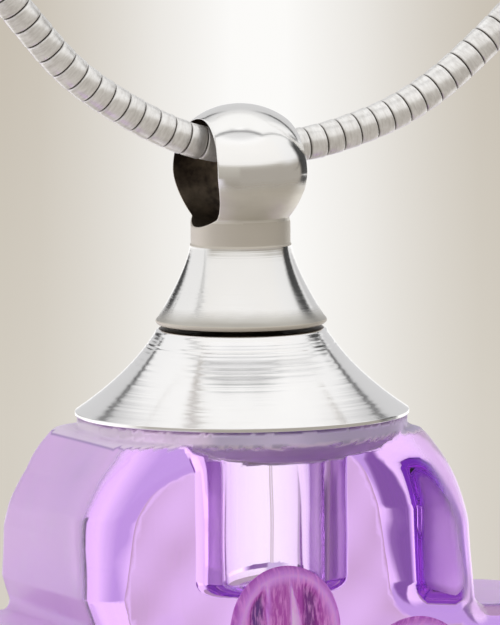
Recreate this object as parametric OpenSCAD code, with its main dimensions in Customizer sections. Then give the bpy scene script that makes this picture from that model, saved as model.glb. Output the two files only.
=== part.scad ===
// Urn locket: a glass cross with a steel collar and a screw stopper whose ball bail rides on a snake chain.
// Millimetres. The chain's nape point is the origin, the wearer faces -Y and +Z is up.

/* [Chain] */
// Diameter of the snake chain
chain_d = 1.2; // [1:0.1:1.4]
// Diameter of the plain barrel clasp at the nape
clasp_d = 3; // [2.6:0.2:4]
// Length of the clasp
clasp_l = 13; // [12:0.5:16]

/* [Stopper] */
// Width of the ball bail
ball_w = 5.2; // [5:0.1:5.6]
// Height of the ball bail
ball_h = 4.8; // [4.7:0.1:5.2]
// Diameter of the hole through the bail
eye_d = 3.8; // [3.7:0.05:3.9]
// Diameter of the waist under the ball
waist_d = 3.53; // [3.2:0.03:3.68]
// Diameter of the stopper's lip
lip_d = 6.06; // [5.6:0.1:6.6]
// Diameter of the screw post under the stopper
post_d = 3; // [2.4:0.1:3.4]
// Length of the screw post
post_l = 2.7; // [1.5:0.1:2.9]

/* [Collar] */
// Diameter of the collar where it meets the stopper
collar_top_d = 5.96; // [5.6:0.1:6.4]
// Diameter of the collar's rim on the glass
collar_rim_d = 11.84; // [11:0.1:12.4]
// Height of the collar
collar_h = 2.9; // [2.5:0.1:3.2]

/* [Glass] */
// Width of each arm of the cross
arm_w = 14.6; // [14:0.1:15]
// Distance from the middle of the cross to the end of an arm
arm_reach = 15.1; // [14.8:0.1:15.6]
// Thickness of the glass, front to back
glass_t = 8.9; // [8.6:0.1:9.6]
// Radius of the front and back edges along the arms
edge_r = 1.2; // [0.9:0.1:1.6]
// Radius of the front and back edges at the ends of the arms
end_edge_r = 2; // [1.6:0.1:2.6]
// Diameter of the vial drilled for the ashes
vial_d = 5.5; // [4.4:0.1:6]
// Depth of the vial below the collar
vial_depth = 6.2; // [4.5:0.1:6.4]

/* [Flower] */
// Number of petals
petals = 8; // [6:1:9]
// Distance across the open flower
flower_d = 18.2; // [15.4:0.2:18.6]
// Width of a petal's round tip
petal_w = 4.2; // [3:0.1:4.3]
// Thickness of a petal
petal_t = 0.9; // [0.6:0.1:1]

/* [Hidden] */

// Middle of the bail's hole, from the origin
bail_at = [0, -94, clasp_d / 2 - 122];

// Heights below the middle of the bail
waist_foot = -2.58;
lip_top = -5.22;
lip_foot = -5.58;
collar_top = -5.7;
glass_top = collar_top - collar_h;
arm_cut = 14.3;
cross_z = glass_top - arm_cut;

// Clearances
thread_gap = 0.08;
chain_socket_gap = 0.1;

// The chain's centre line, from the middle of the bail: left end at the clasp, round the neck,
// down to the bail, and back up to the right end
route = [
    [-5, 94, 122], [-14, 94, 122], [-25, 92, 122], [-38, 86, 121], [-49, 77, 119], [-57, 64, 115],
    [-60, 49, 108], [-58, 35, 98], [-53, 24, 86], [-46, 15, 71], [-38, 9, 56], [-30, 5, 41],
    [-22.6, 2, 27.8], [-17, 1, 18.2], [-13, 0, 11.9], [-10.2, 0, 8.1], [-8.2, 0, 5.65], [-6.4, 0, 3.72],
    [-4.2, 0, 2.24], [-2, 0, 1.22], [0, 0, 0.86], [2, 0, 0.8], [4.2, 0, 1.21], [6.6, 0, 2.08],
    [9, 0, 3.66], [12, 0, 6.5], [16.4, 0, 12.2], [22.6, 2, 22.4], [30, 5, 35.6], [38, 9, 52],
    [46, 15, 68], [53, 24, 84], [58, 35, 97], [60, 49, 108], [57, 64, 115], [49, 77, 119],
    [38, 86, 121], [25, 92, 122], [14, 94, 122], [5, 94, 122]
];
route_steps = 2;
chain_sides = 8;
// Stands square to the loop, so that no stretch of the chain runs along it
loop_normal = [0, 0.8, -0.6];

// A smooth curve through the points of a path
function catmull(a, b, c, d, t) =
    (2 * b + (c - a) * t + (2 * a - 5 * b + 4 * c - d) * t * t
     + (3 * b - a - 3 * c + d) * t * t * t) / 2;
function smooth_path(p, steps) = [
    for (i = [0 : len(p) - 2], s = [0 : steps - 1])
        catmull(i > 0 ? p[i - 1] : 2 * p[0] - p[1], p[i], p[i + 1],
                i < len(p) - 2 ? p[i + 2] : 2 * p[i + 1] - p[i], s / steps),
    p[len(p) - 1]
];

// A curve from p0 to p2 that is pulled towards p1
function bend(p0, p1, p2, steps) = [
    for (i = [0 : steps])
        let (t = i / steps) (1 - t) * (1 - t) * p0 + 2 * t * (1 - t) * p1 + t * t * p2
];

function unit(v) = v / norm(v);
function ramp(x) = let (t = max(0, min(1, x))) t * t * (3 - 2 * t);
function flatten(lists) = [for (l = lists) each l];

// Triangles of a wall over rings of points
function wall_faces(rings, sides) = [
    for (k = [0 : rings - 2], i = [0 : sides - 1], half = [0, 1])
        let (a = k * sides + i, b = k * sides + (i + 1) % sides)
        half == 0 ? [a, a + sides, b] : [b, a + sides, b + sides]
];

// The wall, closed by its first and last ring
function skin_faces(rings, sides) = concat(
    [[for (i = [0 : sides - 1]) i]],
    wall_faces(rings, sides),
    [[for (i = [0 : sides - 1]) rings * sides - 1 - i]]
);

function tube_ring(p, i, r) =
    let (
        along = unit(p[min(i + 1, len(p) - 1)] - p[max(i - 1, 0)]),
        u = unit(cross(along, loop_normal)),
        v = cross(along, u)
    )
    [for (k = [0 : chain_sides - 1])
        let (a = 360 * k / chain_sides) p[i] + r * (cos(a) * u + sin(a) * v)];

module chain() {
    path = smooth_path(route, route_steps);
    points = flatten([for (i = [0 : len(path) - 1]) tube_ring(path, i, chain_d / 2)]);
    color("silver")
        translate(bail_at)
            polyhedron(points, skin_faces(len(path), chain_sides), convexity = 10);
}

// The sockets reach 0.1 past the chain's ends
clasp_chamfer = 0.4;
socket_depth = clasp_l / 2 + route[0][0] + 0.1;

module clasp() {
    color("silver")
        translate([0, 0, clasp_d / 2])
            rotate([0, 90, 0])
                difference() {
                    rotate_extrude($fn = 64)
                        polygon([
                            [0, -clasp_l / 2],
                            [clasp_d / 2 - clasp_chamfer, -clasp_l / 2],
                            [clasp_d / 2, clasp_chamfer - clasp_l / 2],
                            [clasp_d / 2, clasp_l / 2 - clasp_chamfer],
                            [clasp_d / 2 - clasp_chamfer, clasp_l / 2],
                            [0, clasp_l / 2]
                        ]);
                    for (end = [-1, 1])
                        translate([0, 0, end * clasp_l / 2])
                            cylinder(r = chain_d / 2 + chain_socket_gap, h = 2 * socket_depth,
                                     center = true, $fn = 32);
                }
}

// The ball's outline: an ellipse down to its middle, then a little straighter down to the waist
ball_power = 1.75;
ball_foot_angle = acos(pow(waist_d / ball_w, ball_power / 2));
ball_steps = 14;
function ball_outline() = concat(
    [for (i = [0 : ball_steps])
        let (a = 90 - 90 * i / ball_steps)
        [ball_w / 2 * cos(a), ball_h / 2 * sin(a)]],
    [for (i = [1 : ball_steps])
        let (a = ball_foot_angle * i / ball_steps)
        [ball_w / 2 * pow(cos(a), 2 / ball_power), -ball_h / 2 * pow(sin(a), 2 / ball_power)]]
);

skirt_top_r = waist_d / 2 + 0.03;
skirt_pull = [waist_d / 2 + 0.12, -3.4];
lip_bevel = 0.12;

module stopper() {
    outline = concat(
        ball_outline(),
        [[waist_d / 2, waist_foot + 0.05]],
        bend([skirt_top_r, waist_foot], skirt_pull, [lip_d / 2 - lip_bevel, lip_top], 8),
        [
            [lip_d / 2, lip_top - lip_bevel],
            [lip_d / 2, lip_foot + lip_bevel],
            [lip_d / 2 - lip_bevel, lip_foot],
            [post_d / 2, lip_foot],
            [post_d / 2, lip_foot - post_l],
            [0, lip_foot - post_l]
        ]
    );
    color("gainsboro")
        translate(bail_at)
            difference() {
                rotate_extrude($fn = 96) polygon(outline);
                rotate([0, 90, 0]) cylinder(d = eye_d, h = 2 * ball_w, center = true, $fn = 64);
            }
}

flare_pull = [3.85, -7.05];
rim_edge = 0.14;

module collar() {
    outline = concat(
        bend([collar_top_d / 2, collar_top], flare_pull,
             [collar_rim_d / 2, glass_top + rim_edge], 12),
        [
            [collar_rim_d / 2, glass_top],
            [post_d / 2 + thread_gap, glass_top],
            [post_d / 2 + thread_gap, collar_top]
        ]
    );
    color("gainsboro")
        translate(bail_at)
            rotate_extrude($fn = 96) polygon(outline);
}

// Half of one arm's outline, as [across, along, normal across, normal along], from the notch
// beside it to the middle of its end
notch_r = 0.6;
notch_tilt = 21;
notch_steps = 2;
arm_flare = 0.1;
flare_power = 1.4;
side_steps = 4;
end_steps = 9;
end_power = 3;
end_start = 9.9;
half_w = arm_w / 2;
end_rise = arm_reach - end_start;
notch_c = half_w + arm_flare + notch_r * cos(notch_tilt);
side_start = notch_c - notch_r * sin(notch_tilt);

function notch_points() = [
    for (i = [0 : notch_steps - 1])
        let (a = 225 - (45 - notch_tilt) * i / notch_steps)
        [notch_c + notch_r * cos(a), notch_c + notch_r * sin(a), -cos(a), -sin(a)]
];
function side_points() = [
    for (i = [0 : side_steps - 1])
        let (
            left = 1 - i / side_steps,
            slope = flare_power * arm_flare * pow(left, flare_power - 1) / (end_start - side_start),
            n = unit([1, slope])
        )
        [half_w + arm_flare * pow(left, flare_power),
         end_start - (end_start - side_start) * left, n[0], n[1]]
];
function end_points() = [
    for (i = [0 : end_steps])
        let (
            a = 90 * i / end_steps,
            x = pow(cos(a), 2 / end_power),
            y = pow(sin(a), 2 / end_power),
            n = unit([pow(x, end_power - 1) / half_w, pow(y, end_power - 1) / end_rise])
        )
        [half_w * x, end_start + end_rise * y, n[0], n[1]]
];
half_arm = concat(notch_points(), side_points(), end_points());
half_count = len(half_arm);

// The whole outline: up one side of an arm, down the other, and on to the next arm
arm_outline = concat(
    half_arm,
    [for (i = [half_count - 2 : -1 : 1])
        let (p = half_arm[i]) [-p[0], p[1], -p[2], p[3]]]
);
arm_count = len(arm_outline);
outline_sides = 4 * arm_count;

function edge_radius(along) = edge_r + (end_edge_r - edge_r) * ramp((along - half_w) / (arm_cut - half_w));

// A point of the rounded cross: arm k, outline point i, and the turn of the edge from the front
// face (-90) over the side (0) to the back face (90). The top arm is cut flat under the collar.
function cross_point(k, i, turn) =
    let (
        p = arm_outline[i],
        r = edge_radius(p[1]),
        inset = r * (1 - cos(turn)),
        depth = (glass_t / 2 - r) * sign(turn) + r * sin(turn),
        across = p[0] - p[2] * inset,
        reach = p[1] - p[3] * inset,
        along = k == 0 ? min(reach, arm_cut - neck_seat) : reach,
        a = 90 * k
    )
    [across * cos(a) + along * sin(a), depth, along * cos(a) - across * sin(a)];

edge_steps = 5;
function cross_turns() = concat(
    [for (j = [0 : edge_steps]) -90 + 90 * j / edge_steps - (j == edge_steps ? 0.001 : 0)],
    [for (j = [0 : edge_steps]) 90 * j / edge_steps + (j == 0 ? 0.001 : 0)]
);

// The front and back faces are fans of triangles round a point in their middle
function fan_faces(first, sides, middle, flip) = [
    for (i = [0 : sides - 1])
        let (a = first + i, b = first + (i + 1) % sides)
        flip ? [middle, b, a] : [middle, a, b]
];

module rounded_cross() {
    turns = cross_turns();
    count = len(turns) * outline_sides;
    points = concat(
        flatten([
            for (turn = turns)
                [for (k = [3 : -1 : 0], i = [arm_count - 1 : -1 : 0]) cross_point(k, i, turn)]
        ]),
        [[0, -glass_t / 2, 0], [0, glass_t / 2, 0]]
    );
    faces = concat(
        wall_faces(len(turns), outline_sides),
        fan_faces(0, outline_sides, count, false),
        fan_faces(count - outline_sides, outline_sides, count + 1, true)
    );
    polyhedron(points, faces, convexity = 10);
}

// The neck disc stands this much above the top arm's flat. It is wider than the glass is thick,
// so its underside runs in to the front and back faces.
neck_seat = 0.46;
neck_h = 0.5;
neck_foot = 1.3;
neck_foot_r = glass_t / 2 - 0.15;
vial_corner = 0.8;

module neck_disc() {
    r = collar_rim_d / 2 - 0.07;
    rotate_extrude($fn = 96)
        polygon(concat(
            [[0, glass_top], [r, glass_top]],
            bend([r, glass_top - neck_h], [r - 0.15, glass_top - neck_h - 0.45],
                 [neck_foot_r, glass_top - neck_foot], 5),
            [[0, glass_top - neck_foot]]
        ));
}

module vial_space() {
    rotate_extrude($fn = 96)
        polygon([
            [0, glass_top + 1],
            [vial_d / 2, glass_top + 1],
            [vial_d / 2, glass_top - vial_depth + vial_corner],
            [vial_d / 2 - vial_corner / 3, glass_top - vial_depth + vial_corner / 3],
            [vial_d / 2 - vial_corner, glass_top - vial_depth],
            [0, glass_top - vial_depth]
        ]);
}

module glass_body() {
    color([0.78, 0.62, 0.9])
        translate(bail_at)
            difference() {
                union() {
                    translate([0, 0, cross_z]) rounded_cross();
                    neck_disc();
                }
                vial_space();
            }
}

// The flower is fused into the glass, between the vial and the front face
flower_y = -3.6;
petal_ring_r = (flower_d - petal_w) / 2;
throat_r = 3.4;
petal_sides = 12;
flower_sides = petals * petal_sides;
flower_rings = 6;

// Reach of the flower's outline at an angle from the middle of a petal
function petal_reach(a) =
    let (
        r = petal_w / 2,
        side = petal_ring_r * sin(abs(a)),
        tip = petal_ring_r * cos(a) + sqrt(max(0, r * r - side * side))
    )
    side < r ? tip : throat_r + (petal_ring_r * cos(a) - throat_r) * pow(r / side, 6);

function flower_point(i, ring, face) =
    let (
        a = 360 * i / flower_sides,
        within = a - 360 / petals * round(a * petals / 360),
        share = ring / flower_rings,
        reach = petal_reach(within) * share,
        half = petal_t / 2 * (0.25 + 0.75 * sqrt(max(0, 1 - pow(share, 4))))
    )
    [reach * sin(a), flower_y + face * half, reach * cos(a)];

// Front and back are joined round the rim, and each closes over its smallest ring
function flower_faces() =
    let (n = flower_sides, rings = 2 * flower_rings, middle = flower_rings - 1)
    concat(
        [for (k = [0 : rings - 1], i = [0 : n - 1])
            if (k != middle)
            let (a = k * n + i, b = k * n + (i + 1) % n, up = k == rings - 1 ? -k * n : n)
            [a, b, a + up]],
        [for (k = [0 : rings - 1], i = [0 : n - 1])
            if (k != middle)
            let (a = k * n + i, b = k * n + (i + 1) % n, up = k == rings - 1 ? -k * n : n)
            [b, b + up, a + up]],
        [[for (i = [0 : n - 1]) middle * n + i]],
        [[for (i = [0 : n - 1]) (middle + 2) * n - 1 - i]]
    );

module flower() {
    front = flatten([for (ring = [flower_rings : -1 : 1])
        [for (i = [0 : flower_sides - 1]) flower_point(i, ring, -1)]]);
    back = flatten([for (ring = [1 : flower_rings])
        [for (i = [0 : flower_sides - 1]) flower_point(i, ring, 1)]]);
    color("purple")
        translate(bail_at + [0, 0, cross_z])
            polyhedron(concat(front, back), flower_faces(), convexity = 10);
}

chain();
clasp();
stopper();
collar();
glass_body();
flower();
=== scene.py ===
import math

import bmesh
import bpy
import numpy as np
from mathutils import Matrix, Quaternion, Vector


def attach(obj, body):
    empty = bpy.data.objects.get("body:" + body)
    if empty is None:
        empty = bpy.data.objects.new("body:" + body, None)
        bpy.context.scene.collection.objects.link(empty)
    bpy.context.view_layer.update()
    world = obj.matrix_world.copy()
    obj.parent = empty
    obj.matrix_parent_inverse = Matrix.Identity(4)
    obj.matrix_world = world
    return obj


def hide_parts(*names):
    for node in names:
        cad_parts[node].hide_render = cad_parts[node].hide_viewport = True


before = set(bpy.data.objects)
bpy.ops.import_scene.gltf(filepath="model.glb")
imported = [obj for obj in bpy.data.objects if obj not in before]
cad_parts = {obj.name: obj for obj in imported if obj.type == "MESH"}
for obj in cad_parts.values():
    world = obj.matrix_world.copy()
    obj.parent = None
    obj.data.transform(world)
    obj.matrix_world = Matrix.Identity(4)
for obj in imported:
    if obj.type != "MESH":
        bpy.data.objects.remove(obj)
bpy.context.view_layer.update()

MM = 0.001

# Middle of the bail's hole, in millimetres from the nape
BAIL = np.array([0.0, -94.0, -120.5])

# Camera

VIEW_AZIMUTH, VIEW_ELEVATION = math.radians(-25.0), math.radians(6.0)
VIEW_DISTANCE = 0.28
FIELD_HEIGHT = 0.02206
# Where it looks, in metres right of the bail's middle and below it
AIM_RIGHT, AIM_DOWN = 0.000312, 0.004995
VIEW_RIGHT = np.array([math.cos(VIEW_AZIMUTH), math.sin(VIEW_AZIMUTH), 0.0])
VIEW_BACK = np.array([
    math.sin(VIEW_AZIMUTH) * math.cos(VIEW_ELEVATION),
    -math.cos(VIEW_AZIMUTH) * math.cos(VIEW_ELEVATION),
    math.sin(VIEW_ELEVATION),
])
VIEW_UP = np.cross(VIEW_BACK, VIEW_RIGHT)
# The pendant leans a little to the left in the photo
VIEW_ROLL = math.radians(0.47)


def make_camera():
    data = bpy.data.cameras.new("camera")
    data.sensor_width = 36.0
    data.lens = 36.0 * VIEW_DISTANCE / FIELD_HEIGHT
    data.clip_start, data.clip_end = 0.01, 60.0
    cam = bpy.data.objects.new("camera", data)
    target = BAIL * MM + VIEW_RIGHT * AIM_RIGHT - VIEW_UP * AIM_DOWN
    cam.location = target + VIEW_BACK * VIEW_DISTANCE
    cam.rotation_mode = "QUATERNION"
    turn = Vector(-VIEW_BACK).to_track_quat("-Z", "Y")
    cam.rotation_quaternion = turn @ Quaternion((0, 0, 1), -VIEW_ROLL)
    bpy.context.scene.collection.objects.link(cam)
    bpy.context.scene.camera = cam


make_camera()
bpy.context.scene.view_settings.view_transform = "Standard"

# Node helpers


class Nodes:
    """Adds shader nodes to a tree with few words."""

    def __init__(self, tree):
        self.tree = tree
        tree.nodes.clear()

    def add(self, kind, props=None, **inputs):
        node = self.tree.nodes.new(kind)
        for key, value in (props or {}).items():
            setattr(node, key, value)
        for key, value in inputs.items():
            self.put(node, key.replace("_", " "), value)
        return node

    def put(self, node, socket, value):
        numbered = socket[0] == "i" and socket[1:].isdigit()
        slot = node.inputs[int(socket[1:]) if numbered else socket]
        if isinstance(value, bpy.types.NodeSocket):
            self.tree.links.new(value, slot)
        else:
            slot.default_value = value

    def math(self, op, a, b=0.0, clamp=False):
        node = self.add("ShaderNodeMath", {"operation": op, "use_clamp": clamp}, i0=a, i1=b)
        return node.outputs[0]

    def ramp(self, factor, stops):
        node = self.add("ShaderNodeValToRGB", i0=factor)
        band = node.color_ramp
        while len(band.elements) < len(stops):
            band.elements.new(0.5)
        for element, (place, colour) in zip(band.elements, stops):
            element.position = place
            if not hasattr(colour, "__len__"):
                colour = (colour, colour, colour)
            element.color = (*colour, 1.0)
        return node.outputs[0]

    def mix(self, factor, a, b, blend="MIX"):
        node = self.add("ShaderNodeMix", {"data_type": "RGBA", "blend_type": blend})
        self.put(node, "i0", factor)
        self.put(node, "i6", a if isinstance(a, bpy.types.NodeSocket) else (*a, 1.0))
        self.put(node, "i7", b if isinstance(b, bpy.types.NodeSocket) else (*b, 1.0))
        return node.outputs[2]

    def noise(self, vector, scale, detail=2.0, rough=0.5):
        node = self.add("ShaderNodeTexNoise", Vector=vector, Scale=scale, Detail=detail, Roughness=rough)
        return node.outputs[0]

    def place(self):
        return self.add("ShaderNodeTexCoord").outputs["Object"]

    def attribute(self, name, output="Fac"):
        return self.add("ShaderNodeAttribute", {"attribute_name": name}).outputs[output]

    def finish(self, kind, *shaders):
        """Adds the output node, which takes a surface and, for the glass, a volume."""
        out = self.add(kind)
        for shader, socket in zip(shaders, out.inputs):
            self.tree.links.new(shader.outputs[0], socket)


def new_material(name):
    mat = bpy.data.materials.new(name)
    mat.use_nodes = True
    return mat, Nodes(mat.node_tree)


def lin(r, g, b):
    """A picture colour, 0 to 255, as a linear colour."""
    out = []
    for v in (r, g, b):
        v /= 255.0
        out.append(v / 12.92 if v <= 0.04045 else ((v + 0.055) / 1.055) ** 2.4)
    return tuple(out)


# World and stage

FORWARD = (-math.sin(VIEW_AZIMUTH), math.cos(VIEW_AZIMUTH))
SIDE = (math.cos(VIEW_AZIMUTH), math.sin(VIEW_AZIMUTH))


def make_world():
    """A pale studio: white overhead, beige below, a bright patch of backdrop behind the pendant, and flags."""
    world = bpy.data.worlds.new("studio")
    bpy.context.scene.world = world
    world.use_nodes = True
    n = Nodes(world.node_tree)
    direction = n.add("ShaderNodeTexCoord").outputs["Generated"]
    x, y, z = n.add("ShaderNodeSeparateXYZ", Vector=direction).outputs

    def times(a, b):
        return n.math("MULTIPLY", a, b)

    ahead = n.math("ADD", times(x, FORWARD[0]), times(y, FORWARD[1]))
    aside = n.math("ADD", times(x, SIDE[0]), times(y, SIDE[1]))
    # -0.5 to 0.5 is a whole turn, 0 straight ahead of the camera, positive to its right
    turn = n.math("DIVIDE", n.math("ARCTAN2", aside, ahead), 2 * math.pi)
    # -0.5 is straight down and 0.5 straight up
    rise = n.math("DIVIDE", n.math("ARCSINE", z), math.pi)
    around, height = n.math("ADD", turn, 0.5), n.math("ADD", rise, 0.5)
    # 0 to 1 is 0 to 180 degrees off the camera's forward direction, on either side
    off = times(n.math("ABSOLUTE", turn), 2.0)

    # Each stop of a ramp is (degrees, value)
    def by_height(*stops):
        return n.ramp(height, [(deg / 180 + 0.5, value) for deg, value in stops])

    def by_turn(*stops):
        return n.ramp(around, [(deg / 360 + 0.5, value) for deg, value in stops])

    def by_half(place, *stops):
        return n.ramp(place, [(deg / 180, value) for deg, value in stops])

    # What the metal mirrors, on the camera's side
    front = by_height(
        (-90, (0.30, 0.27, 0.235)), (-45, (0.33, 0.30, 0.26)), (-6, (0.44, 0.41, 0.37)),
        (13, (0.54, 0.515, 0.47)), (18, (0.98, 0.97, 0.96)), (50, (1.02, 1.01, 1.0)),
        (60, (1.08, 1.08, 1.09)), (69, (0.84, 0.84, 0.85)), (80, (0.78, 0.78, 0.79)),
        (87, (1.18, 1.18, 1.19)),
    )
    # What shines through the glass, on the far side
    back = by_height(
        (-90, (0.80, 0.77, 0.74)), (-35, (1.12, 1.10, 1.08)), (-2, (1.20, 1.19, 1.18)), (4, (0.92, 0.92, 0.93)),
        (70, (1.05, 1.05, 1.05)),
    )
    # The silhouettes of the metal mirror a greyer strip beside the backdrop
    beside = times(by_half(off, (36, 1.0), (44, 0.0)), by_height((-1, 0.0), (4, 1.0), (40, 1.0), (60, 0.0)))
    back = n.mix(beside, back, (0.68, 0.68, 0.69))
    # A soft lavender patch low behind the glass
    soft = times(
        by_turn((-9, 0.0), (-4, 1.0), (12, 1.0), (26, 0.0)),
        by_height((-50, 0.0), (-30, 1.0), (-9, 1.0), (-8, 0.0)))
    back = n.mix(soft, back, (0.68, 0.61, 0.80))
    base = n.mix(n.ramp(off, [(0.52, 1.0), (0.62, 0.0)]), front, back)
    # A dim wall on the right, and a pale one behind the camera's left for the glass
    wall = times(by_turn((58, 0.0), (68, 1.0)), by_height((8, 1.0), (16, 0.0)))
    base = n.mix(wall, base, (0.42, 0.39, 0.35))
    fill = times(
        by_turn((-156, 0.0), (-148, 1.0), (-90, 1.0), (-84, 0.0)),
        by_height((-60, 1.0), (-16, 1.0), (-10, 0.0)))
    base = n.mix(fill, base, (0.80, 0.77, 0.84))
    # A dark bar overhead that bends down on the right
    pitch = n.math("DIVIDE", n.math("ARCTAN2", z, times(ahead, -1.0)), math.pi)
    droop = n.math("POWER", n.math("MAXIMUM", n.math("SUBTRACT", aside, 0.45), 0.0), 1.3)
    pitch = n.math("SUBTRACT", pitch, times(droop, 194 / 180))
    bar = by_half(pitch, (78.5, 0.0), (80.5, 1.0), (83.5, 1.0), (85.5, 0.0))
    base = n.mix(times(bar, 0.72), base, (0.06, 0.06, 0.06))
    # Black flags on each side of the backdrop
    left_place = n.math("SUBTRACT", times(turn, -2.0), times(n.math("SUBTRACT", rise, 5 / 180), 1.1))
    left_flag = times(
        by_half(left_place, (20, 0.0), (22, 1.0), (32, 1.0), (35, 0.0)),
        by_height((-1, 0.0), (2, 1.0), (14, 1.0), (19, 0.0)))
    right_place = n.math("SUBTRACT", times(turn, 2.0), times(rise, 0.1))
    right_flag = times(
        by_half(right_place, (44, 0.0), (47, 1.0), (66, 1.0), (72, 0.0)),
        by_height((-21, 0.0), (-19, 1.0), (-9.2, 1.0), (-8.8, 0.4), (-6.4, 0.4), (-6, 1.0), (26, 1.0),
                  (34, 0.0)))
    flag = n.math("MAXIMUM", left_flag, right_flag)
    # Higher up both lean in over the backdrop
    lean = n.math("ADD", off, times(n.math("SUBTRACT", rise, 22 / 180), 1.4))
    upper = times(
        by_half(lean, (37, 0.0), (40, 1.0), (46, 1.0), (49, 0.0)),
        by_height((19, 0.0), (22, 1.0), (36, 1.0), (44, 0.0)))
    flag = n.math("MAXIMUM", flag, upper)
    base = n.mix(times(flag, 0.95), base, (0.02, 0.02, 0.02))
    # A card low on the left: bright further round, and dark violet where the glass's right edge shows it
    card = times(
        by_turn((-84, 0.0), (-78, 1.0), (-6, 1.0), (-4, 0.0)),
        by_height((-18, 0.0), (-16.5, 1.0), (-9.2, 1.0), (-8.4, 0.0)))
    shade = n.mix(by_turn((-42, 1.0), (-28, 0.0)), (0.27, 0.155, 0.37), (1.60, 1.45, 1.70))
    base = n.mix(card, base, shade)
    # The backdrop itself, brightest straight behind the pendant
    turn_deg = times(turn, 360.0)
    from_middle = n.math("DIVIDE", n.math("ABSOLUTE", n.math("SUBTRACT", turn_deg, 0.075)), 2.0)
    glow = n.ramp(from_middle, [
        (0.0, 1.0), (0.1, 0.99), (0.216, 0.84), (0.36, 0.66), (0.505, 0.42), (0.65, 0.22), (0.795, 0.06),
        (0.92, 0.0),
    ])
    pale = n.ramp(times(n.math("SUBTRACT", -4.0, times(rise, 180.0)), 0.25), [
        (0.0, lin(200, 192, 179)), (0.7, lin(212, 206, 195)), (1.0, lin(213, 207, 197)),
    ])
    behind = n.mix(glow, pale, lin(252, 251, 249))
    # A ramp has only 256 steps, so this narrow one spans 3.6 degrees instead of 180
    narrow = n.ramp(times(off, 50.0), [(1.9 / 3.6, 1.0), (2.1 / 3.6, 0.0)])
    window = times(narrow, by_height((-9.4, 0.0), (-8.6, 1.0), (-3.2, 1.0), (-2.2, 0.0)))
    colour = n.mix(window, base, behind)
    n.finish("ShaderNodeOutputWorld", n.add("ShaderNodeBackground", Color=colour, Strength=1.0))


make_world()


def make_floor():
    """A pale round floor well under the hanging pendant."""
    mat, n = new_material("pale_floor")
    place = n.place()
    cloud = n.noise(place, 0.6, 3.0)
    colour = n.mix(cloud, (0.55, 0.515, 0.465), (0.59, 0.555, 0.505))
    shader = n.add("ShaderNodeBsdfPrincipled", Base_Color=colour, Roughness=0.85)
    n.finish("ShaderNodeOutputMaterial", shader)
    sides, radius, depth = 96, 1.0, -0.9
    angles = [2 * math.pi * i / sides for i in range(sides)]
    ring = [(radius * math.cos(a), radius * math.sin(a), depth) for a in angles]
    mesh = bpy.data.meshes.new("floor")
    mesh.from_pydata(ring, [], [list(range(sides))])
    mesh.materials.append(mat)
    obj = bpy.data.objects.new("floor", mesh)
    bpy.context.scene.collection.objects.link(obj)


make_floor()

# Mesh helpers


def mesh_object(name, points, faces, mat, weld=True):
    """A smooth mesh from points in millimetres from the bail's middle.

    With weld, points in the same place are joined and the faces are turned out.
    """
    mesh = bpy.data.meshes.new(name)
    world = (np.asarray(points, float) + BAIL) * MM
    mesh.from_pydata(world.tolist(), [], [list(map(int, f)) for f in faces])
    if weld:
        bm = bmesh.new()
        bm.from_mesh(mesh)
        bmesh.ops.remove_doubles(bm, verts=bm.verts, dist=2e-7)
        bmesh.ops.dissolve_degenerate(bm, edges=bm.edges, dist=1e-8)
        loose = [v for v in bm.verts if not v.link_faces]
        bmesh.ops.delete(bm, geom=loose, context="VERTS")
        bmesh.ops.recalc_face_normals(bm, faces=bm.faces)
        bm.to_mesh(mesh)
        bm.free()
    mesh.shade_smooth()
    mesh.materials.append(mat)
    obj = bpy.data.objects.new(name, mesh)
    bpy.context.scene.collection.objects.link(obj)
    return obj


def turn_faces_out(mesh):
    bm = bmesh.new()
    bm.from_mesh(mesh)
    bmesh.ops.recalc_face_normals(bm, faces=bm.faces)
    bm.to_mesh(mesh)
    bm.free()


def paint(obj, name, values):
    """Gives each point of the mesh a number or a vector, for its material."""
    values = np.asarray(values, np.float32)
    kind, field = ("FLOAT", "value") if values.ndim == 1 else ("FLOAT_VECTOR", "vector")
    obj.data.attributes.new(name, kind, "POINT").data.foreach_set(field, values.ravel())


def grid_faces(rows, cols):
    """Quads over rows of points; each row closes on itself."""
    r, c = np.meshgrid(np.arange(rows - 1), np.arange(cols), indexing="ij")
    a = r * cols + c
    b = r * cols + (c + 1) % cols
    return np.stack([a, b, b + cols, a + cols], axis=-1).reshape(-1, 4)


def bend(p0, p1, p2, steps):
    t = np.linspace(0, 1, steps + 1)[:, None]
    return (1 - t) ** 2 * np.array(p0) + 2 * t * (1 - t) * np.array(p1) + t**2 * np.array(p2)


def rounded(path, radius, steps=4):
    """A polyline of (r, z) whose corners are rounded; radius is one number, or one for each inner corner."""
    path = [np.array(p, float) for p in path]
    if not hasattr(radius, "__len__"):
        radius = [radius] * (len(path) - 2)
    out = [path[0]]
    for i in range(1, len(path) - 1):
        back, ahead = path[i - 1] - path[i], path[i + 1] - path[i]
        cut = min(radius[i - 1], np.linalg.norm(back) * 0.45, np.linalg.norm(ahead) * 0.45)
        if cut < 1e-6:
            out.append(path[i])
            continue
        a = path[i] + back / np.linalg.norm(back) * cut
        b = path[i] + ahead / np.linalg.norm(ahead) * cut
        out.extend(bend(a, path[i], b, steps))
    out.append(path[-1])
    return np.array(out)


def resample(path, step):
    """The polyline with no span longer than step."""
    out = [path[0]]
    for a, b in zip(path[:-1], path[1:]):
        count = max(1, int(math.ceil(np.linalg.norm(b - a) / step)))
        for k in range(1, count + 1):
            out.append(a + (b - a) * k / count)
    return np.array(out)


def lathe(profile, sides):
    """Points and faces of a closed profile of (r, z) turned about Z."""
    angles = 2 * np.pi * np.arange(sides) / sides
    rows = []
    for r, z in profile:
        rows.append(np.stack([r * np.cos(angles), r * np.sin(angles), np.full(sides, z)], axis=-1))
    return np.concatenate(rows), grid_faces(len(profile), sides)


# Materials


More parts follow.
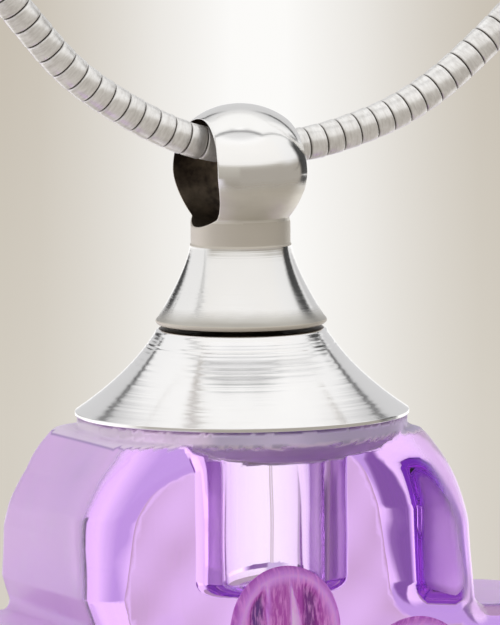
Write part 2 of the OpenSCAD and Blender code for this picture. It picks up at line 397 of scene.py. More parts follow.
def steel(name, colour, roughness, line_scale, line_depth, brush=0.0, painted_shade_below=None, painted_shade_tones=(0.62, 0.90),
          metal=1.0):
    """Turned, polished steel: fine lines round the axis and uneven polish.

    Below a set height, in millimetres from the nape, it is rougher, and its colour is painted darker as painted
    shade, with cloudy streaks between two painted shade tones.
    """
    mat, n = new_material(name)
    place = n.place()
    xyz = n.add("ShaderNodeSeparateXYZ", Vector=place)
    around = n.add("ShaderNodeCombineXYZ", Z=xyz.outputs[2])
    lines = n.noise(around.outputs[0], line_scale, 3.0, 0.6)
    blotch = n.noise(place, 900.0, 3.0)
    tone = n.mix(n.math("MULTIPLY", blotch, 0.5), colour, tuple(c * 0.9 for c in colour))
    polish = n.math("ADD", roughness, n.math("MULTIPLY", lines, 0.10))
    # Painted shade: below the set height the colour darkens towards two painted shade tones, and the polish
    # roughens
    if painted_shade_below is not None:
        under = n.math("SUBTRACT", painted_shade_below * MM, xyz.outputs[2])
        cloud = n.noise(n.add("ShaderNodeMapping", Vector=place, Scale=(1.0, 1.0, 2.5)).outputs[0], 500.0, 4.0)
        share = n.math("ADD", n.math("MULTIPLY", under, 2200.0), cloud, clamp=True)
        dark, pale = [tuple(v * c for c in (1.04, 1.0, 0.91)) for v in painted_shade_tones]
        tone = n.mix(share, tone, n.mix(cloud, dark, pale))
        polish = n.math("ADD", polish, n.math("MULTIPLY", share, 0.30))
    bump = n.add("ShaderNodeBump", Strength=line_depth, Distance=0.00002, Height=lines)
    shader = n.add(
        "ShaderNodeBsdfPrincipled",
        Base_Color=tone, Roughness=polish, Metallic=metal, Normal=bump.outputs[0],
        Anisotropic=brush, Anisotropic_Rotation=0.25,
    )
    if brush:
        tangent = n.add("ShaderNodeTangent", {"direction_type": "RADIAL", "axis": "Z"})
        n.put(shader, "Tangent", tangent.outputs[0])
    n.finish("ShaderNodeOutputMaterial", shader)
    return mat


def bore_and_painted_shade():
    """Nearly black with browner patches: painted shade over the eye's unpolished, drilled wall, and painted
    shade on the lip's underside, the post and the collar's top face.
    """
    mat, n = new_material("bore_and_painted_shade")
    place = n.place()
    patch = n.noise(place, 700.0, 4.0, 0.6)
    tone = n.mix(n.ramp(patch, [(0.42, 0.0), (0.62, 1.0)]), (0.07, 0.055, 0.045), (0.30, 0.25, 0.19))
    bump = n.add("ShaderNodeBump", Strength=0.4, Distance=0.00003, Height=patch)
    shader = n.add(
        "ShaderNodeBsdfPrincipled", Base_Color=tone, Roughness=0.34, Metallic=1.0, Normal=bump.outputs[0])
    n.finish("ShaderNodeOutputMaterial", shader)
    return mat


def chain_silver():
    """Silver links with cloudy streaks round each and dark grooves between them."""
    mat, n = new_material("snake_chain_silver")
    place = n.place()
    groove, spot = n.attribute("groove"), n.attribute("spot", "Vector")
    blotch = n.math("ADD", n.math("MULTIPLY", n.noise(place, 1500.0, 3.0), 0.5), n.noise(spot, 1.0, 3.0, 0.6))
    bright = n.mix(n.ramp(blotch, [(0.6, 0.0), (1.0, 1.0)]), (1.0, 0.99, 0.97), (0.76, 0.74, 0.71))
    tone = n.mix(groove, bright, (0.06, 0.045, 0.035))
    polish = n.math("ADD", 0.30, n.math("MULTIPLY", groove, 0.3))
    shader = n.add("ShaderNodeBsdfPrincipled", Base_Color=tone, Roughness=polish, Metallic=0.55)
    n.finish("ShaderNodeOutputMaterial", shader)
    return mat


def lavender_glass():
    """Clear lavender glass that soaks up green, with a frosted skin where the mesh says so; on the neck the
    skin's colour carries painted light and shade.
    """
    mat, n = new_material("lavender_glass")
    place = n.place()
    ripple = n.noise(place, 240.0, 2.0)
    bump = n.add("ShaderNodeBump", Strength=0.03, Distance=0.0002, Height=ripple)
    frost = n.attribute("frost")
    cloud = n.noise(place, 500.0, 3.0)
    frost = n.math("MULTIPLY", frost, n.math("ADD", 0.72, n.math("MULTIPLY", cloud, 0.56)), clamp=True)
    neck = n.attribute("neck")
    # On the neck the skin's tones are painted light and shade: 0.25 a darker lavender as painted shade on the
    # underside, 0.5 milky as painted light on the view's left, 1.0 grey as painted shade on the view's right
    skin = n.ramp(neck, [
        (0.0, (0.92, 0.66, 1.0)), (0.25, (0.46, 0.32, 0.60)), (0.5, (1.0, 0.90, 1.0)),
        (1.0, (0.60, 0.58, 0.68)),
    ])
    shader = n.add(
        "ShaderNodeBsdfPrincipled",
        Base_Color=n.mix(frost, (1.0, 1.0, 1.0), skin), Roughness=n.math("MULTIPLY", frost, 0.4),
        IOR=1.5, Transmission_Weight=1.0, Normal=bump.outputs[0],
    )
    n.put(shader, "Transmission Weight", n.math("SUBTRACT", 1.0, n.math("MULTIPLY", frost, 0.66)))
    soak = n.add("ShaderNodeVolumeAbsorption", Color=(0.70, 0.0, 1.0, 1.0), Density=72.0)
    n.finish("ShaderNodeOutputMaterial", shader, soak)
    return mat


def petal_glass():
    """Magenta glass petals with fine streaks: painted dark in the folds as painted shade, pale lilac along the
    rims and ribs as painted highlights, and glowing faintly as painted light.
    """
    mat, n = new_material("petal_glass")
    fold_shade_and_highlight, streak = n.attribute("fold_shade_and_highlight"), n.noise(n.attribute("streak", "Vector"), 9.0, 3.0, 0.6)
    body = n.ramp(fold_shade_and_highlight, [
        (0.0, (0.13, 0.035, 0.24)), (0.25, (0.24, 0.02, 0.25)), (0.5, (0.46, 0.07, 0.44)),
        (0.75, (0.72, 0.30, 0.80)), (1.0, (0.96, 0.74, 1.0)),
    ])
    tone = n.mix(n.ramp(streak, [(0.46, 0.0), (0.64, 0.7)]), body, (0.85, 0.38, 0.80))
    place = n.place()
    bump = n.add("ShaderNodeBump", Strength=0.35, Distance=0.00006, Height=n.noise(place, 1400.0, 2.0))
    # The petals glow faintly with their own tone: painted light
    shader = n.add(
        "ShaderNodeBsdfPrincipled", Base_Color=tone, Roughness=0.12, IOR=1.5, Emission_Color=tone,
        Emission_Strength=0.3, Normal=bump.outputs[0])
    n.finish("ShaderNodeOutputMaterial", shader)
    return mat


BAIL_Z = float(BAIL[2])
# A little below the ball's middle the steel is painted darker: painted shade
STEEL = steel("turned_steel", (0.93, 0.92, 0.90), 0.07, 9000.0, 0.10, painted_shade_below=BAIL_Z - 0.35)
CAP_STEEL = steel("cap_steel", (0.93, 0.92, 0.91), 0.11, 9000.0, 0.45, 0.6)
# The skirt's lower edge is painted darker: painted shade
SKIRT = steel(
    "skirt_steel", (0.86, 0.85, 0.83), 0.09, 9000.0, 0.45, 0.6, painted_shade_below=BAIL_Z - 4.92, painted_shade_tones=(0.43, 0.62))
# A darker, duller beige copy of the steel for the waist and the lip's edge band: painted shade
WAIST = steel("waist_steel", (0.66, 0.615, 0.54), 0.42, 5000.0, 0.3, metal=0.5)
DARK_SHADE_BORE = bore_and_painted_shade()
SILVER = chain_silver()
GLASS = lavender_glass()
PETAL = petal_glass()

# Chain

ROUTE = np.array([
    [-5, 94, 122], [-14, 94, 122], [-25, 92, 122], [-38, 86, 121], [-49, 77, 119], [-57, 64, 115],
    [-60, 49, 108], [-58, 35, 98], [-53, 24, 86], [-46, 15, 71], [-38, 9, 56], [-30, 5, 41],
    [-22.6, 2, 27.8], [-17, 1, 18.2], [-13, 0, 11.9], [-10.2, 0, 8.1], [-8.2, 0, 5.65], [-6.4, 0, 3.72],
    [-4.2, 0, 2.24], [-2, 0, 1.22], [0, 0, 0.86], [2, 0, 0.8], [4.2, 0, 1.21], [6.6, 0, 2.08],
    [9, 0, 3.66], [12, 0, 6.5], [16.4, 0, 12.2], [22.6, 2, 22.4], [30, 5, 35.6], [38, 9, 52],
    [46, 15, 68], [53, 24, 84], [58, 35, 97], [60, 49, 108], [57, 64, 115], [49, 77, 119],
    [38, 86, 121], [25, 92, 122], [14, 94, 122], [5, 94, 122],
], float)
CHAIN_R = 0.61
CHAIN_PITCH = 0.675


def catmull_path(points, steps):
    ext = np.vstack([2 * points[0] - points[1], points, 2 * points[-1] - points[-2]])
    out = []
    for i in range(1, len(ext) - 2):
        a, b, c, d = ext[i - 1:i + 3]
        for s in range(steps):
            t = s / steps
            out.append((2 * b + (c - a) * t + (2 * a - 5 * b + 4 * c - d) * t**2
                        + (3 * b - a - 3 * c + d) * t**3) / 2)
    out.append(points[-1])
    return np.array(out)


def make_chain():
    """Cupped links along the loop, each a little wider at its leading edge, with a dark groove between two."""
    fine = catmull_path(ROUTE, 40)
    along = np.concatenate([[0], np.cumsum(np.linalg.norm(np.diff(fine, axis=0), axis=1))])
    links = int(round(along[-1] / CHAIN_PITCH))
    pitch = along[-1] / links
    # Share of the pitch, share of the chain's radius, and how much of a groove is there
    link = [(0.0, 0.86, 1.0), (0.05, 0.88, 1.0), (0.08, 0.955, 0.1), (0.14, 0.972, 0.0), (0.5, 0.985, 0.0),
            (0.9, 1.0, 0.0), (0.96, 0.985, 0.0), (0.985, 0.93, 0.6)]
    sides = 24
    angles = 2 * np.pi * np.arange(sides) / sides
    normal = np.array([0, 0.8, -0.6])

    def at(place):
        return np.stack([np.interp(place, along, fine[:, k]) for k in range(3)], axis=-1)

    def stretch(name, first, last):
        stations = [(i + s, r, g) for i in range(first, last) for s, r, g in link]
        stations.append((last, 0.86, 1.0))
        where = np.array([s for s, _, _ in stations]) * pitch
        centre = at(where)
        tangent = at(where + 0.15) - at(where - 0.15)
        tangent /= np.linalg.norm(tangent, axis=1)[:, None]
        u = np.cross(tangent, normal)
        u /= np.linalg.norm(u, axis=1)[:, None]
        v = np.cross(tangent, u)
        radius = np.array([r for _, r, _ in stations]) * CHAIN_R
        ring = centre[:, None] + radius[:, None, None] * (
            np.cos(angles)[None, :, None] * u[:, None] + np.sin(angles)[None, :, None] * v[:, None])
        points = ring.reshape(-1, 3)
        count = len(stations)
        faces = grid_faces(count, sides).tolist()
        faces.append(list(range(sides))[::-1])
        faces.append([(count - 1) * sides + i for i in range(sides)])
        obj = mesh_object(name, points, faces, SILVER, weld=False)
        paint(obj, "groove", np.repeat([g for _, _, g in stations], sides))
        # Fine streaks run round each link
        paint(obj, "spot", np.stack([
            np.repeat(np.array([s for s, _, _ in stations]) * 7.0, sides),
            np.tile(np.cos(angles) * 1.5, count), np.tile(np.sin(angles) * 1.5, count)], axis=-1))
        turn_faces_out(obj.data)
        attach(obj, "root")
        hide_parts("chain")

    half = links // 2
    stretch("snake_chain_left", 0, half)
    stretch("snake_chain_right", half, links)


make_chain()


def make_clasp():
    """The plain barrel at the nape, with softly rounded rims and a turned groove near each end."""
    half, r, socket, socket_depth, groove_r = 6.5, 1.5, CHAIN_R + 0.1, 1.6, 1.38
    path = [(0, -half + socket_depth), (socket, -half + socket_depth), (socket, -half), (r - 0.1, -half),
            (r, -half + 0.35), (r, -half + 1.2), (groove_r, -half + 1.32), (groove_r, -half + 1.48),
            (r, -half + 1.6)]
    mirror = [(a, -b) for a, b in path[::-1]]
    profile = resample(rounded(path + mirror, 0.12, 4), 0.35)
    points, faces = lathe(profile, 64)
    turned = np.stack([points[:, 2], points[:, 0], points[:, 1]], axis=-1) - BAIL + np.array([0, 0, r])
    obj = mesh_object("barrel_clasp", turned, faces, SILVER)
    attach(obj, "root")
    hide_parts("clasp")


make_clasp()

# Stopper

BALL_W, BALL_H, EYE_R, WAIST_R = 5.2, 4.8, 1.9, 1.765
# The ball's lower half is a little slimmer than an ellipse, whose power would be 2
BALL_POWER = 1.75
# Heights are from the bail's middle
WAIST_TOP, WAIST_FOOT, SKIRT_TOP = -1.72, -2.53, -2.58
LIP_R, LIP_Z, LIP_H, LIP_BEVEL = 3.03, -5.42, 0.3, 0.12
POST_R, POST_FOOT = 1.5, -8.28


def make_stopper():
    """Ball bail, waist, flared skirt, lip and post.

    The eye is let into the turned grid by two polar patches, one on each side.
    """
    ball = [(BALL_W / 2 * math.cos(a), BALL_H / 2 * math.sin(a)) for a in np.linspace(math.pi / 2, 0, 60)]
    foot = math.acos((WAIST_R * 2 / BALL_W) ** (BALL_POWER / 2))
    power = 2 / BALL_POWER
    ball += [(BALL_W / 2 * math.cos(a) ** power, -BALL_H / 2 * math.sin(a) ** power)
             for a in np.linspace(0, foot, 44)[1:]]
    flare = bend((WAIST_R + 0.03, SKIRT_TOP), (WAIST_R + 0.12, -3.4), (LIP_R - 0.1, LIP_Z + LIP_H), 60)
    path = ball + [(WAIST_R, WAIST_FOOT)] + flare.tolist() + [
        (LIP_R, LIP_Z + 0.18), (LIP_R, LIP_Z + 0.1), (LIP_R - LIP_BEVEL, LIP_Z),
        (POST_R, LIP_Z), (POST_R, POST_FOOT), (0, POST_FOOT)]
    corner = [0.0] * (len(path) - 2)
    corner[len(ball) - 2] = 0.10
    corner[len(ball) - 1] = 0.02
    corner[len(ball)] = 0.02
    tail = len(ball) + 1 + len(flare)
    for i in range(tail - 1, len(path) - 2):
        corner[i] = 0.06
    line = resample(rounded(path, corner, 5), 0.07)
    line[0] = (1e-4, BALL_H / 2)
    s = np.concatenate([[0], np.cumsum(np.linalg.norm(np.diff(line, axis=0), axis=1))])
    # Faint turning marks
    rng = np.random.default_rng(7)
    ticks = np.arange(0, s[-1] + 0.1, 0.1)
    marks = np.interp(s, ticks, rng.normal(0, 1, len(ticks)))
    marked = (line[:, 1] < SKIRT_TOP - 0.12) & (line[:, 1] > LIP_Z + 0.32)
    line[marked, 0] += 0.0008 * marks[marked]

    def radius_at(z):
        return np.interp(-z, -line[:, 1], line[:, 0])

    def s_at(z):
        return np.interp(-z, -line[:, 1], s)

    cols = 192
    half_cols = 36
    patch_top, patch_low = 2.25, -2.22
    top_row = int(np.argmin(abs(line[:, 1] - patch_top)))
    low_row = int(np.argmin(abs(line[:, 1] - patch_low)))
    points, _ = lathe(line, cols)
    faces = []
    for r in range(len(line) - 1):
        for c in range(cols):
            rel = (c + half_cols) % (cols // 2)
            if top_row <= r < low_row and rel < 2 * half_cols:
                continue
            a, b = r * cols + c, r * cols + (c + 1) % cols
            faces.append([a, b, b + cols, a + cols])

    step = 2 * math.pi / cols
    border = []
    for c in range(-half_cols, half_cols):
        border.append((c * step, s[top_row]))
    for r in range(top_row, low_row):
        border.append((half_cols * step, s[r]))
    for c in range(half_cols, -half_cols, -1):
        border.append((c * step, s[low_row]))
    for r in range(low_row, top_row, -1):
        border.append((-half_cols * step, s[r]))
    border = np.array(border)

    def rim(phi, rho):
        y, z = rho * np.cos(phi), rho * np.sin(phi)
        x = np.sqrt(np.maximum(radius_at(z) ** 2 - y**2, 1e-6))
        return x, y, z

    span_t, span_s = half_cols * step, (s[low_row] - s[top_row]) / 2
    mid_b = (s[low_row] + s[top_row]) / 2
    phi = np.arctan2(-(border[:, 1] - mid_b) / span_s, border[:, 0] / span_t)
    soft = 0.07
    x, y, z = rim(phi, EYE_R + soft)
    inner = np.stack([np.arctan2(y, x), s_at(z)], axis=-1)
    shells = []
    count = 30
    for k in range(count + 1):
        w = 1 - (1 - k / count) ** 1.25
        ts = border * (1 - w) + inner * w
        if k == count:
            shells.append(np.stack([x, y, z], axis=-1))
            continue
        r = np.interp(ts[:, 1], s, line[:, 0])
        zz = np.interp(ts[:, 1], s, line[:, 1])
        shells.append(np.stack([r * np.cos(ts[:, 0]), r * np.sin(ts[:, 0]), zz], axis=-1))
    outer = shells[-1]
    xe, ye, ze = rim(phi, EYE_R)
    corner_pt = np.stack([xe, ye, ze], axis=-1)
    wall = np.stack([xe - soft, ye, ze], axis=-1)
    for t in (0.2, 0.4, 0.6, 0.8, 1.0):
        shells.append((1 - t) ** 2 * outer + 2 * t * (1 - t) * corner_pt + t * t * wall)
    for t in (0.25, 0.5, 0.75, 1.0):
        shells.append(np.stack([(xe - soft) * (1 - t), ye, ze], axis=-1))
    patch = np.concatenate(shells)
    first = len(points)
    patch_faces = grid_faces(len(shells), len(border))
    mirror = patch * np.array([-1, 1, 1])
    points = np.concatenate([points, patch, mirror])
    faces += (patch_faces + first).tolist()
    faces += (patch_faces + first + len(patch)).tolist()
    obj = mesh_object("screw_stopper", points, faces, STEEL)
    for mat in (DARK_SHADE_BORE, WAIST, SKIRT):
        obj.data.materials.append(mat)
    bore_shade_slot, waist, skirt = 1, 2, 3
    for poly in obj.data.polygons:
        x, y, z = np.array(poly.center) / MM - BAIL
        in_eye = math.hypot(y, z) < EYE_R + 0.005 and abs(x) < 1.75
        # Painted shade: the eye's wall, the lip's underside and the post take the nearly black bore material
        if in_eye or z < LIP_Z + 0.03:
            poly.material_index = bore_shade_slot
        # Painted shade: the lip's edge band and, higher up, the waist take the darker, duller waist copy of the
        # steel
        elif z < LIP_Z + 0.2:
            poly.material_index = waist
        elif z < SKIRT_TOP - 0.02:
            poly.material_index = skirt
        elif z < WAIST_TOP:
            poly.material_index = waist
    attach(obj, "stopper")
    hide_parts("stopper")


make_stopper()

# Collar

GLASS_TOP, COLLAR_TOP = -8.6, -5.55
COLLAR_R, RIM_R, RIM_H, BORE_R = 2.98, 5.92, 0.14, 1.58


def make_collar():
    """The flared cap on the glass, turned in fine steps."""
    steps = 150
    place = np.arange(steps + 1)
    flare = bend((COLLAR_R, COLLAR_TOP), (3.85, -7.05), (RIM_R, GLASS_TOP + RIM_H), steps)
    rng = np.random.default_rng(11)
    depth = np.interp(place, np.arange(0, 153, 3), rng.normal(0, 1, 51))
    slope = np.gradient(flare, axis=0)
    slope /= np.linalg.norm(slope, axis=1)[:, None]
    outward = np.stack([-slope[:, 1], slope[:, 0]], axis=-1)
    fade = np.interp(place, [0, 4, 40, 70, 145, 150], [0, 1.5, 1.2, 0.5, 0.4, 0])
    flare = flare + outward * (depth * fade * 0.0034)[:, None]
    path = [(BORE_R, COLLAR_TOP), (COLLAR_R - 0.08, COLLAR_TOP)] + flare[2:-1].tolist() + [
        (RIM_R, GLASS_TOP + RIM_H), (RIM_R, GLASS_TOP), (BORE_R, GLASS_TOP)]
    corner = [0.0] * (len(path) - 2)
    corner[0] = 0.03
    corner[-1] = corner[-2] = 0.04
    line = rounded(path, corner, 3)
    line = resample(np.vstack([line, line[:1]]), 0.12)
    points, faces = lathe(line, 256)
    obj = mesh_object("flared_collar", points, faces, CAP_STEEL)
    # Its top face, under the stopper, takes the nearly black bore material: painted shade
    obj.data.materials.append(DARK_SHADE_BORE)
    for poly in obj.data.polygons:
        if poly.center.z / MM - BAIL_Z > COLLAR_TOP - 0.02:
            poly.material_index = 1
    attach(obj, "vial")
    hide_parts("collar")


make_collar()

# Glass

HALF_W, REACH, GLASS_T = 7.3, 15.1, 8.9
NOTCH_R, NOTCH_TILT = 0.6, math.radians(21)
ARM_FLARE, FLARE_POWER = 0.1, 1.4
END_START, END_POWER = 9.9, 3
NOTCH_C = HALF_W + ARM_FLARE + NOTCH_R * math.cos(NOTCH_TILT)
SIDE_START = NOTCH_C - NOTCH_R * math.sin(NOTCH_TILT)
# Above the cross's middle the top arm is cut flat at ARM_TOP, and its neck goes on to NECK_TOP
ARM_TOP, NECK_TOP = 13.84, 14.3
CROSS_Z = GLASS_TOP - NECK_TOP
# The edges are rounded by EDGE_R in the middle of the cross and by END_EDGE_R at the arms' ends
EDGE_R, END_EDGE_R = 1.2, 2.0
VIAL_R, VIAL_X, VIAL_FOOT = 2.75, 0.35, GLASS_TOP - 6.2
NECK_R, NECK_H = 5.85, 1.3


def half_outline():
    """Half an arm from the middle of the notch to the middle of its end, as (across, along)."""
    pts = []
    for a in np.linspace(math.radians(225), math.pi + NOTCH_TILT, 6):
        pts.append((NOTCH_C + NOTCH_R * math.cos(a), NOTCH_C + NOTCH_R * math.sin(a)))
    for left in np.linspace(1, 0, 9)[1:]:
        pts.append((HALF_W + ARM_FLARE * left**FLARE_POWER, END_START - (END_START - SIDE_START) * left))
    for a in np.radians(np.linspace(0, 90, 41))[1:]:
        pts.append((HALF_W * abs(math.cos(a)) ** (2 / END_POWER),
                    END_START + (REACH - END_START) * math.sin(a) ** (2 / END_POWER)))
    return np.array(pts)


OUTLINE = half_outline()


def outline_distance(x, z):
    """Signed distance to the cross's outline and how far along its arm a point is."""
    x, z = abs(x), abs(z)
    across, along = np.minimum(x, z), np.maximum(x, z)
    best = np.full(across.shape, 1e9)
    for (ax, az), (bx, bz) in zip(OUTLINE[:-1], OUTLINE[1:]):
        dx, dz = bx - ax, bz - az
        t = np.clip(((across - ax) * dx + (along - az) * dz) / (dx * dx + dz * dz), 0, 1)
        best = np.minimum(best, (across - ax - t * dx) ** 2 + (along - az - t * dz) ** 2)
    dist = np.sqrt(best)
    edge = np.interp(along, OUTLINE[:, 1], OUTLINE[:, 0], left=1e3, right=-1.0)
    return np.where(across < edge, -dist, dist), along


def smooth_max(a, b, k):
    h = np.clip(0.5 - 0.5 * (b - a) / k, 0, 1)
    return b * (1 - h) + a * h + k * h * (1 - h)


def smooth_min(a, b, k):
    return -smooth_max(-a, -b, k)


def glass_field(x, y, z):
    """Below zero inside the glass; z is measured from the bail."""
    low = z - CROSS_Z
    # The top arm was drawn out a little to the left, with a fuller shoulder on that side
    front = np.clip(0.5 - y / GLASS_T, 0, 1)
    left_front = np.interp(low, [7.4, 8.6, 11.4, 12.6, 13.4], [0.0, 0.5, 0.55, 0.25, 0.0])
    left_back = np.interp(low, [7.4, 8.6, 10.4, 11.2, 12.4], [0.0, 0.5, 0.55, 0.40, 0.0])
    right = np.interp(low, [7.4, 10.5, 12.0, 13.2, 14.3], [0.0, 0.0, -0.25, -0.48, -0.5])
    leaned = x * HALF_W / (HALF_W + np.where(x < 0, left_back + (left_front - left_back) * front, right))
    d, along = outline_distance(leaned, low)
    ease = np.clip((along - HALF_W) / (NECK_TOP - HALF_W), 0, 1)
    r = EDGE_R + (END_EDGE_R - EDGE_R) * ease * ease * (3 - 2 * ease)
    # Slow lampwork waves over the skin
    wave = np.sin(0.9 * x + 1.3 * z + 0.5) * np.sin(1.1 * z - 0.7 * y + 1.0) + 0.5 * np.sin(2.1 * x - 1.7 * z)
    wave = 0.004 * wave
    q, w = d + r, abs(y) - (GLASS_T / 2 - r)
    body = np.hypot(np.maximum(q, 0), np.maximum(w, 0)) + np.minimum(np.maximum(q, w), 0) - r + wave
    body = smooth_max(body, low - ARM_TOP, 0.12)
    # A round neck seats the collar and narrows into the arm
    depth = GLASS_TOP - z
    neck_r = np.interp(
        depth, [0.0, 0.5, 0.71, 0.925, 1.119, NECK_H], [NECK_R, NECK_R, 5.678, 5.387, 4.922, 4.3])
    neck = smooth_max(np.hypot(x, y) - neck_r, abs(z - (GLASS_TOP - NECK_H / 2)) - NECK_H / 2, 0.06)
    body = smooth_min(body, neck, 0.12)
    body = smooth_max(body, z - GLASS_TOP, 0.03)
    # The vial's foot is rounded by foot_r
    foot_r = 0.5
    p, h = np.hypot(x - VIAL_X, y) - (VIAL_R + 0.1 - foot_r), (VIAL_FOOT + foot_r) - z
    vial = np.hypot(np.maximum(p, 0), np.maximum(h, 0)) + np.minimum(np.maximum(p, h), 0) - foot_r
    return smooth_max(body, -vial, 0.08)


def surface_net(field, low, high, step):
    """Quads close to where the field is zero, then moved onto it."""
    axes = [np.arange(lo, hi + step, step) for lo, hi in zip(low, high)]
    x, y, z = np.meshgrid(*axes, indexing="ij")
    value = field(x, y, z)
    inside = value < 0
    nx, ny, nz = value.shape
    count = np.zeros((nx - 1, ny - 1, nz - 1), int)
    for i in (0, 1):
        for j in (0, 1):
            for k in (0, 1):
                count += inside[i:nx - 1 + i, j:ny - 1 + j, k:nz - 1 + k]
    active = (count > 0) & (count < 8)
    index = -np.ones(active.shape, int)
    index[active] = np.arange(active.sum())
    cell = np.argwhere(active)
    # Each point starts at the mean of its cell's crossed edges
    total, number = np.zeros((len(cell), 3)), np.zeros(len(cell))
    for axis in range(3):
        u, v = [k for k in range(3) if k != axis]
        for du in (0, 1):
            for dv in (0, 1):
                a = cell.copy()
                a[:, u] += du
                a[:, v] += dv
                b = a.copy()
                b[:, axis] += 1
                fa, fb = value[tuple(a.T)], value[tuple(b.T)]
                crossed = (fa < 0) != (fb < 0)
                t = np.where(crossed, fa / np.where(crossed, fa - fb, 1.0), 0.0)
                spot = a.astype(float)
                spot[:, axis] += t
                total += np.where(crossed[:, None], spot, 0.0)
                number += crossed
    points = np.array(low) + total / number[:, None] * step

    faces = []
    for axis in range(3):
        a = [slice(None)] * 3
        b = [slice(None)] * 3
        a[axis], b[axis] = slice(0, -1), slice(1, None)
        one, two = inside[tuple(a)], inside[tuple(b)]
        edge = np.argwhere(one != two)
        flip = one[one != two] == (axis == 1)
        u, v = [k for k in range(3) if k != axis]
        keep = (edge[:, u] > 0) & (edge[:, v] > 0)
        keep &= (edge[:, u] < value.shape[u] - 1) & (edge[:, v] < value.shape[v] - 1)
        edge, flip = edge[keep], flip[keep]
        corners = []
        for du, dv in ((-1, -1), (0, -1), (0, 0), (-1, 0)):
            c = edge.copy()
            c[:, u] += du
            c[:, v] += dv
            corners.append(index[c[:, 0], c[:, 1], c[:, 2]])
        quad = np.stack(corners, axis=-1)
        quad[flip] = quad[flip][:, ::-1]
        faces.append(quad)
    faces = np.concatenate(faces)

    def difference(p, e):
        """How much the field changes over 2 e along x, y and z."""
        x, y, z = p.T
        return np.stack([
            field(x + e, y, z) - field(x - e, y, z),
            field(x, y + e, z) - field(x, y - e, z),
            field(x, y, z + e) - field(x, y, z - e),
        ], axis=-1)

    def snap(p, times):
        for _ in range(times):
            f = field(*p.T)
            e = 0.02
            g = difference(p, e) / (2 * e)
            size = np.maximum((g * g).sum(1), 0.05)
            move = -(f / size)[:, None] * g
            length = np.linalg.norm(move, axis=1)
            move *= np.minimum(1, step / np.maximum(length, 1e-9))[:, None]
            p = p + move
        return p

    # Even out the grid along the surface, then go back onto it
    sides = np.concatenate([faces[:, [i, (i + 1) % 4]] for i in range(4)])
    edges = np.unique(np.sort(sides, axis=1), axis=0)
    for _ in range(8):
        total = np.zeros_like(points)
        number = np.zeros(len(points))
        np.add.at(total, edges[:, 0], points[edges[:, 1]])
        np.add.at(total, edges[:, 1], points[edges[:, 0]])
        np.add.at(number, edges[:, 0], 1)
        np.add.at(number, edges[:, 1], 1)
        points = points + 0.6 * (total / np.maximum(number, 1)[:, None] - points)
        points = snap(points, 1)
    points = snap(points, 2)
    normal = difference(points, 0.01)
    return points, faces, normal / np.linalg.norm(normal, axis=1)[:, None]


def make_glass():
    step = 0.22
    reach, thick = REACH + 0.6, 6.5
    points, faces, normal = surface_net(
        glass_field, (-reach, -thick, CROSS_Z - reach), (reach, thick, GLASS_TOP + 0.6), step)
    obj = mesh_object("glass_cross", points, faces, GLASS, weld=False)
    obj.data.normals_split_custom_set_from_vertices(normal.tolist())
    # The side walls and the neck are a little frosted
    radial, depth = np.hypot(points[:, 0], points[:, 1]), GLASS_TOP - points[:, 2]
    clear_from = np.where(normal[:, 0] < 0, 0.44, 0.24)
    frost = np.clip((clear_from - abs(normal[:, 1])) / 0.18, 0, 1)
    frost = np.where((depth < 0.56) & (radial > 5.6), 1.0, frost)
    rounded_right = np.clip((normal[:, 0] - 0.2) / 0.15, 0, 1) * np.clip((0.1 - normal[:, 1]) / 0.2, 0, 1)
    frost = np.maximum(frost, 0.5 * rounded_right)
    frost[radial < VIAL_R + 0.6] = 0.0
    # The neck's skin is painted by the view's direction: grey on the right of the view as painted shade, and
    # milky on the left as painted light
    across = (points[:, 0] * VIEW_RIGHT[0] + points[:, 1] * VIEW_RIGHT[1]) / np.maximum(radial, 1.0)
    view_right_shade = np.clip((across + 0.22) / 0.08, 0, 1)
    neck = ((depth < 0.6) & (radial > 5.5)) * (0.5 + 0.5 * view_right_shade)
    # Its downward-facing underside is painted a darker, clouded lavender: painted shade
    under = np.clip((depth - 0.52) / 0.1, 0, 1) * np.clip((radial - 4.2) / 0.3, 0, 1)
    under *= np.clip((-0.2 - normal[:, 2]) / 0.2, 0, 1) * (radial < 5.95) * (depth < 1.5)
    frost = np.maximum(frost, 0.85 * under)
    neck = np.where(under > 0.5, 0.25, neck)
    paint(obj, "frost", frost)
    paint(obj, "neck", neck)
    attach(obj, "vial")
    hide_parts("glass_body")
    print("glass", len(points), "points", len(faces), "quads")


make_glass()

# Flower

PETALS = 8
FLOWER_AT = np.array([-0.22, -3.6, CROSS_Z])
HALF_THICK = 0.45
# How much further a petal's tip reaches than a half circle would
TIP_STRETCH = 1.12


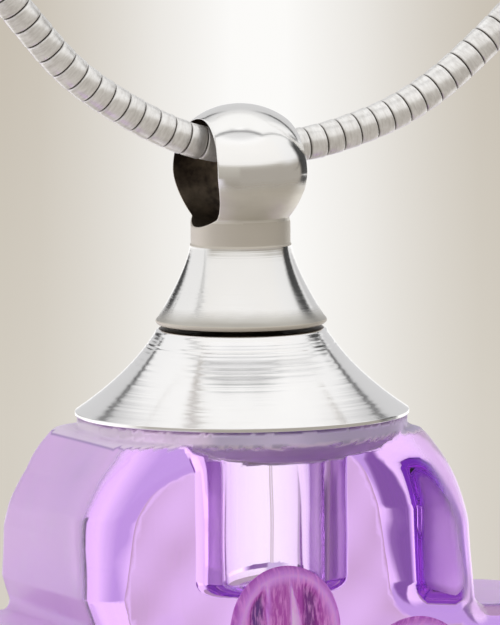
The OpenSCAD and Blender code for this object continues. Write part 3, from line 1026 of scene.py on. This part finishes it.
def make_flower():
    """Petals round the middle of the cross, with rolled rims and with ribs and folds between them."""
    ring_r, petal_r, throat = 7.0, 2.1, 3.4
    sides, rings = PETALS * 60, 44
    angle = 2 * np.pi * np.arange(sides) / sides
    pitch = 2 * np.pi / PETALS
    within = angle - pitch * np.round(angle / pitch)
    side = ring_r * np.sin(abs(within))
    tip = ring_r * np.cos(within) + TIP_STRETCH * np.sqrt(np.maximum(petal_r**2 - side**2, 0))
    neck = throat + (ring_r * np.cos(within) - throat) * (petal_r / np.maximum(side, 1e-6)) ** 6
    reach = np.where(side < petal_r, tip, neck) - 0.02
    shares = np.linspace(0, 1, rings + 1)[1:] ** 0.75

    def relief(r):
        """Height over the petal's mid face, how light it is painted there (painted shade in the folds, painted
        highlights on the rims and ribs), and its place along the streaks.
        """
        across, along = r * np.sin(within), r * np.cos(within)
        from_edge = np.maximum(petal_r - np.hypot(across, np.maximum(along - ring_r, 0) / TIP_STRETCH), 0)
        from_edge = np.minimum(from_edge, np.maximum(reach - r, 0))
        u = across / petal_r
        rim = np.exp(-((from_edge - 0.28) / 0.22) ** 2)
        inside = np.clip((from_edge - 0.34) / 0.22, 0, 1)
        field = np.clip((u + 0.36) / 0.03, 0, 1) * np.clip((0.03 - u) / 0.03, 0, 1)
        line = np.exp(-((u + 0.38) / 0.035) ** 2)
        spread = np.clip((ring_r + petal_r - along) / 2.2, 0, 1)
        facet = np.clip((u - 0.02) / 0.02, 0, 1) * np.clip((0.02 + 0.30 * spread - u) / 0.05, 0, 1)
        left, right = np.exp(-((u + 0.55) / 0.15) ** 4), np.exp(-((u - 0.42) / 0.14) ** 4)
        near_hub = np.clip((r - 2.2) / 1.5, 0, 1)
        folds = 0.10 * field + 0.16 * facet * (0.5 - u) / 0.3 - 0.26 * (left + right)
        height = (0.16 * rim + inside * folds) * near_hub
        # Painted shade in the folds, and painted highlights on the rims, the thin line and the facet's left
        # edge
        shades = 0.45 * line + facet * (0.48 - 0.8 * (u - 0.02)) - 0.5 * left - 0.34 * right
        light = 0.5 + (0.30 * rim + inside * shades) * near_hub
        place = np.stack([across * 0.9, along * 0.16, np.round(angle / pitch)], axis=-1)
        return height, np.clip(light, 0, 1), place

    points, fold_shade_and_highlight, streak = [], [], []
    for face in (-1, 1):
        for share in shares if face > 0 else shares[::-1]:
            half = HALF_THICK * (0.1 + 0.9 * math.sqrt(max(0.0, 1 - share**14)))
            r = reach * share
            height, light, place = relief(r)
            depth = face * (half + height * math.sqrt(max(0.0, 1 - share**24)))
            points.append(np.stack([r * np.sin(angle), depth, r * np.cos(angle)], axis=-1))
            fold_shade_and_highlight.append(light)
            streak.append(place)
    count = len(points)
    points = np.concatenate(points) + FLOWER_AT
    # The two middle rings end the front and the back: each is closed by a face of its own
    first, last = rings - 1, rings
    faces = [f for f in grid_faces(count, sides).tolist() if not first * sides <= f[0] < last * sides]
    faces += [[first * sides + i for i in range(sides)], [last * sides + i for i in range(sides)][::-1]]
    for i in range(sides):
        j = (i + 1) % sides
        faces.append([(count - 1) * sides + i, (count - 1) * sides + j, j, i])
    obj = mesh_object("inner_flower", points, faces, PETAL, weld=False)
    paint(obj, "fold_shade_and_highlight", np.concatenate(fold_shade_and_highlight))
    paint(obj, "streak", np.concatenate(streak))
    turn_faces_out(obj.data)
    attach(obj, "vial")
    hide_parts("flower")


make_flower()
